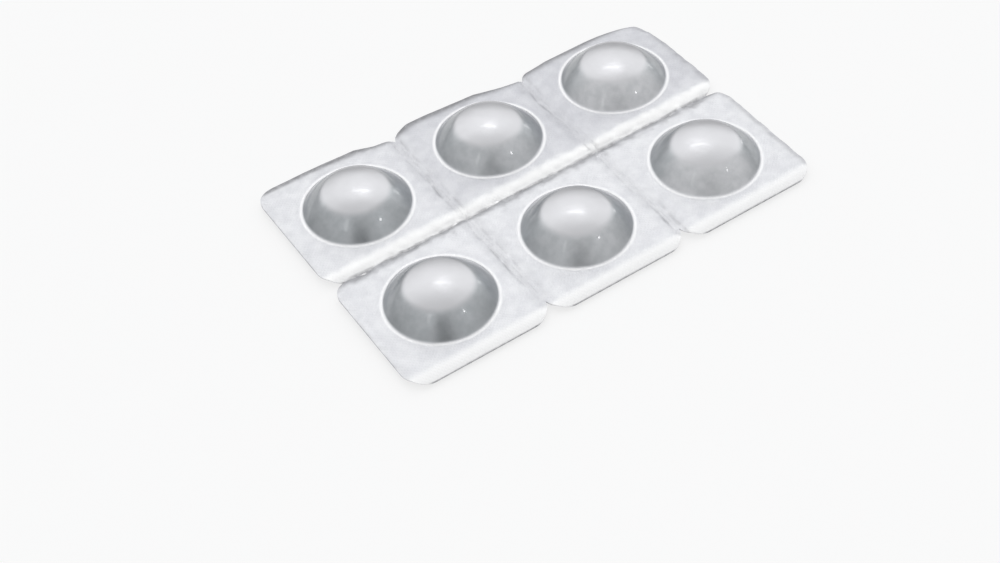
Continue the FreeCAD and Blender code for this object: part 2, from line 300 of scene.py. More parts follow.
@dataclass
class PocketForm:
    """Section of a pocket as the slope of its side from the cap to the flange.

    Angles are in degrees and say how steep the foil is. The cap is a shallow dome, the
    shoulder bends to the wall, the wall steepens towards its foot, and the foot is hollow.
    """

    height: float = 3.68
    cap_edge: float = 3.85
    cap_angle: float = 18.0
    wall_top: float = 5.0
    wall_top_angle: float = 39.0
    wall_foot: float = 6.75
    wall_foot_angle: float = 47.5
    foot_edge: float = 7.4
    bead_radius: float = 7.6
    bead_width: float = 0.4
    bead_height: float = 0.03
    samples: int = 1200

    def __post_init__(self) -> None:
        """Adds up the slope into heights and brings the crown to its height."""
        self.radii = np.linspace(0.0, self.foot_edge, self.samples)
        slopes = np.tan(np.radians(self.angle(self.radii)))
        drops = (slopes[1:] + slopes[:-1]) / 2 * self.radii[1]
        heights = np.append(np.cumsum(drops[::-1])[::-1], 0.0)
        self.heights = heights * self.height / heights[0]

    def angle(self, r: np.ndarray) -> np.ndarray:
        """Steepness of the section at distances from the pocket's axis.

        Args:
            r: Distances in millimetres.

        Returns:
            Angles in degrees.
        """
        cap = self.cap_angle * r / self.cap_edge
        along = (r - self.wall_top) / (self.wall_foot - self.wall_top)
        wall = self.wall_top_angle + (self.wall_foot_angle - self.wall_top_angle) * along
        bend = smooth((r - self.cap_edge) / (self.wall_top - self.cap_edge))
        ease = 1.0 - smooth((r - self.wall_foot) / (self.foot_edge - self.wall_foot))
        return (cap * (1 - bend) + wall * bend) * ease

    @property
    def edge(self) -> float:
        """Radius where the pocket's section has run out into the flange."""
        return self.bead_radius + self.bead_width

    def rings(self) -> list[float]:
        """Radii of the mesh's rings, closest where the section bends most.

        Returns:
            Radii in millimetres, from just outside the centre to the pocket's edge.
        """
        stretches = [
            (0.0, self.cap_edge, 9),
            (self.cap_edge, self.wall_top, 8),
            (self.wall_top, self.wall_foot, 7),
            (self.wall_foot, self.foot_edge, 8),
            (self.foot_edge, self.edge, 4),
        ]
        radii = []
        for start, end, count in stretches:
            radii += [start + (end - start) * (i + 1) / count for i in range(count)]
        return radii

    def rise(self, r: np.ndarray) -> np.ndarray:
        """Height of the section above the flange.

        Args:
            r: Distances from the pocket's axis, in millimetres.

        Returns:
            Heights in millimetres, 0 on the flange.
        """
        section = np.interp(r, self.radii, self.heights)
        return section + self.bead_height * ridge(r - self.bead_radius, self.bead_width)


@dataclass
class FarCurl:
    """How the far long edge curls down, and how the far cells sag to the right."""

    places: tuple[float, ...] = (-30.0, -21.0, -13.0, -10.0, -6.0, 0.0, 7.0, 12.0, 30.0)
    depths: tuple[float, ...] = (0.42, 0.48, 0.8, 0.9, 0.6, 0.82, 1.05, 0.95, 0.85)
    pulls: tuple[float, ...] = (0.06, 0.08, 0.2, 0.25, 0.12, 0.3, 0.5, 0.65, 0.6)
    width: float = 3.0
    blur: tuple[float, ...] = (-1.6, -0.8, 0.0, 0.8, 1.6)
    notch_places: tuple[float, ...] = (-15.0, -12.5, -10.5, -7.0, 3.5, 7.4, 9.4, 11.5, 15.0)
    notch_pulls: tuple[float, ...] = (0.0, 0.8, 1.0, 0.0, 0.0, 1.1, 1.5, 0.45, 0.0)
    notch_reach: float = 8.0
    corner_pull: float = 1.7
    corner_reach: float = 9.0
    sag: float = 0.3
    sag_left: float = -6.0
    sag_length: float = 30.0
    sag_width: float = 14.0

    def along(self, x: np.ndarray, values: tuple[float, ...]) -> np.ndarray:
        """Reads a row of values at places along the pack, softened between them."""
        return sum(np.interp(x + b, self.places, values) for b in self.blur) / len(self.blur)

    def depth(self, x: np.ndarray) -> np.ndarray:
        """Drop at the far edge at places along the pack, in millimetres."""
        return self.along(x, self.depths)

    def pull(self, x: np.ndarray, distance: np.ndarray) -> np.ndarray:
        """How far curling draws the foil in beside the far edge, in millimetres.

        Args:
            x: Places along the pack, in millimetres.
            distance: Distances from the far edge, in millimetres.

        Returns:
            Shifts inwards.
        """
        inward = np.clip(1.0 - np.abs(distance) / self.width, 0.0, 1.0)
        near_notch = np.clip(1.0 - np.abs(distance) / self.notch_reach, 0.0, 1.0)
        cut_back = np.interp(x, self.notch_places, self.notch_pulls)
        return self.along(x, self.pulls) * inward**3 + cut_back * near_notch**2

    def tuck(self, from_corner: np.ndarray) -> np.ndarray:
        """How far the far right corner is tucked in both ways, in millimetres."""
        return self.corner_pull * np.clip(1.0 - from_corner / self.corner_reach, 0.0, 1.0) ** 2

    def sagging(self, x: np.ndarray, y: np.ndarray) -> np.ndarray:
        """How far the whole foil hangs below its level, in millimetres."""
        along = smooth((x - self.sag_left) / self.sag_length)
        return self.sag * along * smooth(y / self.sag_width)


@dataclass
class Perforation:
    """Marks that the perforating rule presses beside the lines between cells."""

    offset: float = 0.5
    width: float = 0.34
    depth: float = 0.09
    row_share: float = 0.35
    # shade is the share of painted shade in the pressed grooves.
    shade: float = 0.5
    wander: float = 0.22
    strength: float = 0.45
    swing: float = 0.9
    dash_gap: float = 0.7
    groove_floor: float = 0.25
    line_clear: float = 0.2
    bridge_rise: float = 0.26
    bridge_reach: float = 0.75
    line_wander: float = 0.22
    crumple: float = 0.08
    column_reach: float = 1.4
    row_reach: float = 2.4


@dataclass
class FlangeForm:
    """How the flange falls to the cells' edges, and how uneven its foil is."""

    top: float
    foil: float
    depths: dict[LineKind, float] = field(
        default_factory=lambda: {
            LineKind.NEAR_EDGE: 0.65,
            LineKind.ROW_CREASE: 0.65,
            LineKind.LEFT_EDGE: 0.12,
            LineKind.RIGHT_EDGE: 0.3,
            LineKind.COLUMN_CREASE: 0.25,
        }
    )
    curl: FarCurl = field(default_factory=FarCurl)
    perforation: Perforation = field(default_factory=Perforation)
    fall_width: float = 2.0
    ripple_depth: float = 0.014
    dent_depth: float = 0.02
    relief_run: float = 0.5
    pocket_relief: float = 0.5

    def fall(
        self, distance: np.ndarray, depth: float | np.ndarray, width: float
    ) -> np.ndarray:
        """Drop of the flange beside one line, round at the top and steepest at the line.

        Args:
            distance: Distances from the line, in millimetres.
            depth: Drop at the line, in millimetres.
            width: Distance from the line at which the drop begins, in millimetres.

        Returns:
            Drops in millimetres.
        """
        radius = (width**2 + depth**2) / (2 * depth)
        inward = np.clip(width - np.abs(distance), 0.0, width)
        return radius - np.sqrt(radius**2 - inward**2)


@dataclass
class FoilSurface:
    """The shape of the foil's upper side everywhere on the pack."""

    layout: PackLayout
    pocket: PocketForm
    flange: FlangeForm

    def __post_init__(self) -> None:
        """Makes the noises of the foil's relief."""
        self.broad = SmoothNoise(seed=11, cell=4.2)
        self.fine = SmoothNoise(seed=12, cell=1.3)
        self.along = SmoothNoise(seed=13, cell=2.6)
        self.creased = SmoothNoise(seed=14, cell=0.9)

    def pocket_offset(self, x: np.ndarray, y: np.ndarray) -> tuple[np.ndarray, np.ndarray]:
        """Offsets along and across the pack from the axis of the cell's pocket.

        Args:
            x: Places along the pack, in millimetres.
            y: Places across the pack, in millimetres.

        Returns:
            Both offsets, in millimetres.
        """
        length, width = self.layout.cell
        along = (x + self.layout.length / 2) % length - length / 2
        across = (y + self.layout.width / 2) % width - width / 2
        return along, across

    def pocket_distance(self, x: np.ndarray, y: np.ndarray) -> np.ndarray:
        """Distance from the axis of the cell's pocket, in millimetres."""
        return np.hypot(*self.pocket_offset(x, y))

    def row_depth(self, kind: LineKind, x: np.ndarray) -> np.ndarray:
        """Drop at a line that runs along the pack, less where a bridge holds the crease up.

        Args:
            kind: Kind of the line.
            x: Places along the pack, in millimetres.

        Returns:
            Drops in millimetres.
        """
        if kind is LineKind.FAR_EDGE:
            return self.flange.curl.depth(x)
        depth = np.full(x.shape, self.flange.depths[kind])
        if kind is LineKind.ROW_CREASE:
            depth -= self.flange.perforation.bridge_rise * self.bridges(x)
        return depth

    def bridges(self, x: np.ndarray) -> np.ndarray:
        """How much the row crease is held up by its bridges, from 0 to 1.

        Args:
            x: Places along the pack, in millimetres.

        Returns:
            Shares of the bridges' full rise.
        """
        step = self.layout.cell[0] / self.layout.slits_per_cell
        off = (x + step / 2) % step - step / 2
        held = 0.5 + 0.5 * self.along.at(x * 0.8, x * 0.3)
        return held * ridge(off, self.flange.perforation.bridge_reach)

    def wandering(self, along: np.ndarray, kind: LineKind) -> np.ndarray:
        """How far a crease strays from its straight line, in millimetres.

        Args:
            along: Places along the line, in millimetres.
            kind: Kind of the line.

        Returns:
            Shifts to one side, 0 for the pack's own edges.
        """
        if kind not in (LineKind.ROW_CREASE, LineKind.COLUMN_CREASE):
            return np.zeros(along.shape)
        return self.flange.perforation.line_wander * self.along.at(along * 1.4, along * 0.5)

    def line_drop(self, x: np.ndarray, y: np.ndarray) -> np.ndarray:
        """Drop towards all lines together, in millimetres.

        Args:
            x: Places along the pack, in millimetres.
            y: Places across the pack, in millimetres.

        Returns:
            Drops below the flange's top.
        """
        power = 4.0
        total = np.zeros(x.shape)
        flange = self.flange
        for place, kind in self.layout.row_lines():
            width = flange.curl.width if kind is LineKind.FAR_EDGE else flange.fall_width
            off = y - place + self.wandering(x, kind)
            total += flange.fall(off, self.row_depth(kind, x), width) ** power
        for place, kind in self.layout.column_lines():
            if kind is LineKind.COLUMN_CREASE:
                off = x - place + self.wandering(y + place, kind)
                drop = flange.depths[kind] * ridge(off, flange.fall_width)
            else:
                drop = flange.fall(x - place, flange.depths[kind], flange.fall_width)
            total += drop**power
        return total ** (1 / power)

    def pressed(self, across: np.ndarray, along: np.ndarray, step: float) -> np.ndarray:
        """Depth of the two broken grooves beside one line, from 0 to 1.

        Args:
            across: Distances from the line, in millimetres.
            along: Places along the line, in millimetres.
            step: Distance from one slit to the next, in millimetres.

        Returns:
            Shares of the full depth.
        """
        marks = self.flange.perforation
        wave = marks.wander * self.along.at(along * 0.9, across * 0.2)
        off = np.abs(across + wave) - marks.offset
        side = np.where(across > 0, 17.0, -9.0)
        strength = marks.strength + marks.swing * self.along.at(along * 0.7 + side, side)
        dash = smooth(np.abs((along + step / 2) % step - step / 2) / marks.dash_gap)
        groove = marks.groove_floor + (1.0 - marks.groove_floor) * dash
        beside = smooth(np.abs(across) / marks.line_clear)
        return np.clip(strength, 0.0, 1.0) * groove * ridge(off, marks.width) * beside

    def perforation_marks(self, x: np.ndarray, y: np.ndarray) -> np.ndarray:
        """How deep the perforating rule has pressed the foil, from 0 to 1.

        Args:
            x: Places along the pack, in millimetres.
            y: Places across the pack, in millimetres.

        Returns:
            Shares of the marks' full depth.
        """
        length, width = (side / self.layout.slits_per_cell for side in self.layout.cell)
        marks = np.zeros(x.shape)
        for place, kind in self.layout.column_lines():
            if kind is LineKind.COLUMN_CREASE:
                marks += self.pressed(x - place, y + 3.1 * place, width)
        for place, kind in self.layout.row_lines():
            if kind is LineKind.ROW_CREASE:
                share = self.flange.perforation.row_share
                marks += share * self.pressed(y - place, x, length)
        return marks

    def sheet(self, x: np.ndarray, y: np.ndarray) -> np.ndarray:
        """Height of the flange's upper side, as if it ran on under the pockets."""
        drop = self.line_drop(x, y) + self.flange.curl.sagging(x, y)
        return self.flange.top - np.minimum(drop, self.flange.top - self.flange.foil)

    def relief(self, x: np.ndarray, y: np.ndarray) -> np.ndarray:
        """Shallow ripples and dents of the handled foil, in millimetres.

        Args:
            x: Places along the pack, in millimetres.
            y: Places across the pack, in millimetres.

        Returns:
            Heights above and below the smooth foil.
        """
        marks = self.flange.perforation
        length, width = self.layout.cell
        to_column = (x + self.layout.length / 2 + length / 2) % length - length / 2
        near_column = ridge(to_column, marks.column_reach)
        near_row = ridge(y, marks.row_reach)
        crumple = marks.crumple * self.creased.at(x, y) * np.maximum(near_column, near_row)
        broad = self.flange.ripple_depth * self.broad.at(x, y)
        return broad + self.flange.dent_depth * self.fine.at(x, y) + crumple

    def height(self, x: np.ndarray, y: np.ndarray) -> np.ndarray:
        """Height of the foil's upper side.

        Args:
            x: Places along the pack, in millimetres.
            y: Places across the pack, in millimetres.

        Returns:
            Heights in millimetres above the surface that the pack rests on.
        """
        r = self.pocket_distance(x, y)
        flange = self.flange
        on_flange = smooth((r - self.pocket.foot_edge) / flange.relief_run)
        kept = flange.pocket_relief + (1.0 - flange.pocket_relief) * on_flange
        relief = self.relief(x, y) * kept
        marks = flange.perforation.depth * self.perforation_marks(x, y) * on_flange
        total = self.sheet(x, y) + self.pocket.rise(r) - marks + relief
        return np.maximum(total, flange.foil)

    def far_pull(self, points: np.ndarray) -> np.ndarray:
        """Roughly how far points of the finished foil were drawn in, in millimetres."""
        return points[:, 1] - self.drawn_in(points[:, :2])[:, 1]

    def drawn_in(self, flat: np.ndarray) -> np.ndarray:
        """Moves points of the plane in from the free edges that curl most.

        Args:
            flat: Points in the plane, in millimetres.

        Returns:
            The points as far in as the curled foil brings them.
        """
        x, y = flat[:, 0], flat[:, 1]
        curl = self.flange.curl
        beside = x - self.layout.length / 2
        beyond = y - self.layout.width / 2
        tuck = curl.tuck(-beside - beyond)
        return np.stack([x - tuck, y - tuck - curl.pull(x, beyond)], axis=1)


@dataclass
class CellOutline:
    """The outline of one cell as points that match its neighbours' along shared lines."""

    layout: PackLayout
    column: int
    row: int
    steps: int

    def __post_init__(self) -> None:
        """Notes which sides lie on the pack's outline."""
        self.open = self.layout.open_sides(self.column, self.row)

    def corner(self, side: int) -> CornerKind:
        """What the corner at the start of a side is.

        Args:
            side: Number of the side: right, far, left and near.

        Returns:
            Kind of the corner.
        """
        before, after = self.open[side - 1], self.open[side]
        if before and after:
            return CornerKind.OUTER
        if before or after:
            return CornerKind.NOTCH
        return CornerKind.CROSSING

    def half(self, side: int) -> tuple[float, float]:
        """Half sizes of the cell, across a side and along it."""
        length, width = self.layout.cell
        return (length / 2, width / 2) if side % 2 == 0 else (width / 2, length / 2)

    def arc_angle(self, kind: CornerKind) -> float:
        """How far round its corner a cut side goes, in radians.

        Args:
            kind: Kind of the corner.

        Returns:
            The angle of the arc.
        """
        if kind is CornerKind.OUTER:
            return math.pi / 4
        return math.acos(1 - self.layout.notch_depth / self.layout.corner_radius)

    def cut_side(self, side: int) -> np.ndarray:
        """Points of a side on the pack's outline, seen as the right side going up.

        Args:
            side: Number of the side.

        Returns:
            Rows of two places in millimetres and 1, as every point is cut.
        """
        across, along = self.half(side)
        radius = self.layout.corner_radius
        depth = self.layout.notch_depth
        reach = math.sqrt(depth * (2 * radius - depth))
        start = self.corner(side)
        end = self.corner((side + 1) % 4)
        start_y = -along + (radius if start is CornerKind.OUTER else reach)
        end_y = along - (radius if end is CornerKind.OUTER else reach)
        start_turn, end_turn = self.arc_angle(start), self.arc_angle(end)
        lengths = [radius * start_turn, end_y - start_y, radius * end_turn]
        total = sum(lengths)
        points = []
        for step in range(self.steps + 1):
            travelled = total * step / self.steps
            if travelled < lengths[0]:
                turn = start_turn - travelled / radius
                x = across - radius + radius * math.cos(turn)
                y = start_y - radius * math.sin(turn)
            elif travelled < lengths[0] + lengths[1]:
                x = across
                y = start_y + travelled - lengths[0]
            else:
                turn = (travelled - lengths[0] - lengths[1]) / radius
                x = across - radius + radius * math.cos(turn)
                y = end_y + radius * math.sin(turn)
            points.append((x, y, 1.0))
        return np.array(points)

    def torn_side(self, side: int) -> np.ndarray:
        """Points of a perforated side, seen as the right side going up.

        The third value says whether the foil is cut there. Cut points stand back from the
        line by half a slit, and the rest are shared with the next cell.

        Args:
            side: Number of the side.

        Returns:
            Rows of two places in millimetres and the third value.
        """
        across, along = self.half(side)
        layout = self.layout
        low = -along + (layout.notch_depth if self.open[side - 1] else 0.0)
        high = along - (layout.notch_depth if self.open[(side + 1) % 4] else 0.0)
        places = np.linspace(low, high, self.steps + 1)
        cut = np.zeros(places.shape)
        step = 2 * along / layout.slits_per_cell
        taper = layout.slit_taper
        clear = layout.notch_depth + layout.slit_bridge / 2
        used = {0, self.steps}
        for number in range(layout.slits_per_cell):
            start = -along + number * step + layout.slit_bridge / 2
            end = start + step - layout.slit_bridge
            too_low = self.open[side - 1] and start + along < clear
            too_high = self.open[(side + 1) % 4] and along - end < clear
            if too_low or too_high:
                continue
            for place, is_cut in (
                (start, 0.0),
                (start + taper, 1.0),
                (end, 0.0),
                (end - taper, 1.0),
            ):
                order = np.argsort(np.abs(places - place))
                index = next(int(i) for i in order if int(i) not in used)
                used.add(index)
                places[index] = place
                cut[index] = is_cut
            inside = (places > start + taper / 2) & (places < end - taper / 2)
            cut[inside] = 1.0
        order = np.argsort(places, kind="stable")
        places, cut = places[order], cut[order]
        x = across - cut * layout.slit_gap / 2
        return np.stack([x, places, cut], axis=1)

    def points(self) -> tuple[np.ndarray, np.ndarray]:
        """Walks round the cell.

        Returns:
            Points in millimetres, counter-clockwise from the near right corner, and for
            each whether the stretch that starts there has an open edge.
        """
        cx, cy = self.layout.centre(self.column, self.row)
        loops, edges = [], []
        for side in range(4):
            local = self.cut_side(side) if self.open[side] else self.torn_side(side)
            is_open = np.maximum(local[:-1, 2], local[1:, 2]) > 0.5
            flat = local[:-1, :2]
            for _ in range(side):
                flat = np.stack([-flat[:, 1], flat[:, 0]], axis=1)
            loops.append(flat + (cx, cy))
            edges.append(is_open)
        return np.concatenate(loops), np.concatenate(edges)


class MeshDraft:
    """Vertices and faces of a piece while it is put together, in millimetres."""

    def __init__(self) -> None:
        """Starts empty."""
        self.vertices: list[np.ndarray] = []
        self.faces: list[tuple[int, ...]] = []
        self.count = 0

    def add(self, points: np.ndarray) -> int:
        """Adds points and returns the index of the first.

        Args:
            points: Rows of three places, in millimetres.

        Returns:
            The first point's index.
        """
        first = self.count
        self.vertices.append(points)
        self.count += len(points)
        return first

    def ring_faces(self, inner: int, outer: int, count: int, upward: bool) -> None:
        """Joins two rings of as many points with four-sided faces.

        Args:
            inner: Index of the inner ring's first point.
            outer: Index of the outer ring's first point.
            count: Number of points in a ring.
            upward: Whether the faces look up.
        """
        for i in range(count):
            j = (i + 1) % count
            face = (inner + i, outer + i, outer + j, inner + j)
            self.faces.append(face if upward else face[::-1])

    def fan_faces(self, centre: int, ring: int, count: int, upward: bool) -> None:
        """Joins a centre to a ring with triangles.

        Args:
            centre: Index of the centre.
            ring: Index of the ring's first point.
            count: Number of points in a ring.
            upward: Whether the faces look up.
        """
        for i in range(count):
            face = (centre, ring + i, ring + (i + 1) % count)
            self.faces.append(face if upward else face[::-1])

    def wall_faces(self, top: int, bottom: int, count: int, is_open: np.ndarray) -> None:
        """Closes the open stretches of an outline between its upper and lower rings.

        Args:
            top: Index of the upper ring's first point.
            bottom: Index of the lower ring's first point.
            count: Number of points in a ring.
            is_open: Whether the stretch that starts at each point is open.
        """
        for i in np.flatnonzero(is_open):
            j = (int(i) + 1) % count
            self.faces.append((top + int(i), bottom + int(i), bottom + j, top + j))

    def object(self, name: str, weld: float) -> bpy.types.Object:
        """Makes the object, in metres, and joins points that coincide.

        Args:
            name: Name of the object and its mesh.
            weld: Distance in millimetres within which points are one.

        Returns:
            The object, linked to the scene.
        """
        mesh = bpy.data.meshes.new(name)
        points = np.concatenate(self.vertices) * MM
        mesh.from_pydata(points.tolist(), [], self.faces)
        work = bmesh.new()
        work.from_mesh(mesh)
        edge = [v for v in work.verts if v.is_boundary]
        bmesh.ops.remove_doubles(work, verts=edge, dist=weld * MM)
        work.to_mesh(mesh)
        work.free()
        piece = bpy.data.objects.new(name, mesh)
        bpy.context.scene.collection.objects.link(piece)
        return piece


@dataclass
class FoilSheet:
    """A sheet of foil over the whole pack: its name, place in the stack and fineness."""

    name: str
    surface: FoilSurface
    below_top: float
    thickness: float
    steps: int = 60
    flange_rings: int = 19

    def flat_height(self, x: np.ndarray, y: np.ndarray) -> np.ndarray:
        """Height of the sheet's upper side where it is not formed into pockets."""
        return self.surface.sheet(x, y) - self.below_top

    def upper(self, x: np.ndarray, y: np.ndarray) -> np.ndarray:
        """Height of the sheet's upper side."""
        return self.flat_height(x, y)

    def upper_radii(self) -> list[float]:
        """Radii of the rings inside the pocket's edge on the upper side."""
        return [self.surface.pocket.edge * f for f in (0.4, 0.8, 1.0)]

    def upper_shares(self) -> np.ndarray:
        """Where rings lie between the pocket's edge and the cell's outline, from 0 to 1."""
        return np.linspace(0.0, 1.0, 5)[1:]

    def lower_radii(self) -> list[float]:
        """Radii of the rings inside the pocket's edge on the lower side."""
        return [self.surface.pocket.edge * f for f in (0.4, 0.8, 1.0)]

    def lower_shares(self) -> np.ndarray:
        """Where rings lie on the lower side, as upper_shares does."""
        return np.linspace(0.0, 1.0, 7)[1:]

    def skin(
        self,
        draft: MeshDraft,
        outline: np.ndarray,
        centre: tuple[float, float],
        upward: bool,
    ) -> int:
        """Adds one side of the sheet over one cell.

        Args:
            draft: The mesh to add to.
            outline: The cell's outline.
            centre: The cell's middle.
            upward: Whether it is the upper side.

        Returns:
            The index of the first point on the outline.
        """
        count = len(outline)
        middle = np.array(centre)
        quarter = count // 4
        angles = np.radians(-45.0 + 90.0 * np.arange(count) / quarter)
        circle = np.stack([np.cos(angles), np.sin(angles)], axis=1)
        radii = self.upper_radii() if upward else self.lower_radii()
        shares = self.upper_shares() if upward else self.lower_shares()
        rings = [middle + circle * r for r in radii]
        rings += [rings[-1] + (outline - rings[-1]) * share for share in shares]
        hub = draft.add(self.lift(middle[None, :], upward))
        starts = [draft.add(self.lift(ring, upward)) for ring in rings]
        draft.fan_faces(hub, starts[0], count, upward)
        for inner, outer in zip(starts, starts[1:]):
            draft.ring_faces(inner, outer, count, upward)
        return starts[-1]

    def lift(self, flat: np.ndarray, upward: bool) -> np.ndarray:
        """Gives points in the plane their heights on one side of the sheet.

        Args:
            flat: Points in the plane, in millimetres.
            upward: Whether it is the upper side.

        Returns:
            Rows of three places, in millimetres.
        """
        x, y = flat[:, 0], flat[:, 1]
        z = self.upper(x, y) if upward else self.flat_height(x, y) - self.thickness
        return np.column_stack([self.surface.drawn_in(flat), np.maximum(z, 0.0)])

    def build(self) -> bpy.types.Object:
        """Builds the sheet over all cells, open at the slits and closed at every cut.

        Returns:
            The sheet as one object.
        """
        draft = MeshDraft()
        layout = self.surface.layout
        for column in range(layout.columns):
            for row in range(layout.rows):
                outline, is_open = CellOutline(layout, column, row, self.steps).points()
                centre = layout.centre(column, row)
                top = self.skin(draft, outline, centre, upward=True)
                bottom = self.skin(draft, outline, centre, upward=False)
                draft.wall_faces(top, bottom, len(outline), is_open)
        piece = draft.object(self.name, weld=0.002)
        self.mark(piece)
        return piece

    def mark(self, piece: bpy.types.Object) -> None:
        """Shades the piece smoothly and stores where its pockets, feet and edges are, and where
        shade, highlights and sheen are painted.

        Args:
            piece: The sheet's object.
        """
        mesh = piece.data
        mesh.shade_smooth()
        mesh.set_sharp_from_angle(angle=math.radians(50.0))
        points = np.empty(len(mesh.vertices) * 3)
        mesh.vertices.foreach_get("co", points)
        points = points.reshape(-1, 3) / MM
        x, y = points[:, 0], points[:, 1] + self.surface.far_pull(points)
        pocket = self.surface.pocket
        r = self.surface.pocket_distance(x, y)
        zones = ZONES
        # Painted shade beside edges and creases, eased over the bridges, and painted shade in the
        # perforation grooves.
        held = self.surface.bridges(x) * ridge(y, zones.bridge_reach)
        dark = self.band_mask(x, y, DARK_BANDS) * (1.0 - zones.bridge_light * held)
        shade = self.surface.flange.perforation.shade
        dark = np.maximum(dark, shade * self.surface.perforation_marks(x, y))
        masks = {
            "formed": 1.0
            - smooth((r - pocket.wall_foot - zones.formed_start) / zones.formed_run),
            # painted highlight on the ring at each pocket's foot
            "bead": ridge(r - pocket.foot_edge + zones.bead_inset, zones.bead_reach),
            # painted shade along edges, creases and perforation grooves
            "edge": dark,
            # painted highlight on the lips that slope towards the camera's side
            "lip": self.band_mask(x, y, PALE_BANDS),
            # the pocket's top, painted lighter than its walls
            "cap": 1.0 - smooth((r - pocket.cap_edge) / (pocket.wall_top - pocket.cap_edge)),
            # painted reflection: walls on the camera's side of the right-hand pockets are paler
            "painted_wall_sheen": smooth((x - zones.wall_sheen_left) / zones.wall_sheen_run) * self.facing_share(x, y),
            # painted shade on the far cells towards the right end, where the foil sags
            "sag_shade": smooth((x - zones.sag_shade_left) / zones.sag_shade_run)
            * smooth((y - zones.sag_shade_near) / zones.sag_shade_depth),
        }
        for name, values in masks.items():
            attribute = mesh.attributes.new(name, "FLOAT", "POINT")
            attribute.data.foreach_set("value", values.astype(np.float32))

    def facing_share(self, x: np.ndarray, y: np.ndarray) -> np.ndarray:
        """How far a pocket's wall faces the camera's side of the pack, from 0 to 1, where the
        walls get painted sheen.

        Args:
            x: Places along the pack, in millimetres.
            y: Places across the pack, in millimetres.

        Returns:
            Shares, 1 where the wall faces that side.
        """
        along, across = self.surface.pocket_offset(x, y)
        radius = np.hypot(along, across) + 1e-6
        toward = (along * CAMERA_SIDE[0] + across * CAMERA_SIDE[1]) / radius
        return smooth((toward - ZONES.facing_start) / ZONES.facing_run)

    def band_mask(
        self, x: np.ndarray, y: np.ndarray, bands: tuple[EdgeBand, ...]
    ) -> np.ndarray:
        """How strongly bands beside the cells' edges and lines show.

        Args:
            x: Places along the pack, in millimetres.
            y: Places across the pack, in millimetres.
            bands: The bands to add up.

        Returns:
            Values from 0 to 1.
        """
        layout = self.surface.layout
        shown = np.zeros(x.shape)
        scale = ZONES.broken_scale
        noise = self.surface.creased.at(x * scale, y * scale)
        curled = ZONES.curl_depth / self.surface.flange.curl.depth(x)
        for places, lines in ((y, layout.row_lines()), (x, layout.column_lines())):
            for place, kind in lines:
                for band in (band for band in bands if band.kind is kind):
                    away = (places - place) * band.side
                    if kind is LineKind.FAR_EDGE:
                        away = away * curled
                    away = away * (1.0 + band.broken * noise)
                    fade = 1.0 - smooth((away - band.start) / (band.end - band.start))
                    share = np.where(away > -ZONES.past_line, band.share * fade, 0.0)
                    shown = np.maximum(shown, share)
        return shown


@dataclass
class FormedFoil(FoilSheet):
    """The upper sheet, pressed into the pockets."""

    rim_share: float = 0.965

    def upper(self, x: np.ndarray, y: np.ndarray) -> np.ndarray:
        """Height of the formed foil's upper side."""
        return self.surface.height(x, y)

    def upper_radii(self) -> list[float]:
        """Radii of the rings over the pocket."""
        return self.surface.pocket.rings()

    def upper_shares(self) -> np.ndarray:
        """Where rings lie over the flange, the last one close to the outline."""
        return np.append(np.linspace(0.0, self.rim_share, self.flange_rings)[1:], 1.0)


@dataclass
class LidFoil(FoilSheet):
    """The lower sheet, flat under the pockets and sealed to the formed foil."""

    def lower_shares(self) -> np.ndarray:
        """Where rings lie over the flange, fine enough for its falls."""
        return np.linspace(0.0, 1.0, 13)[1:]


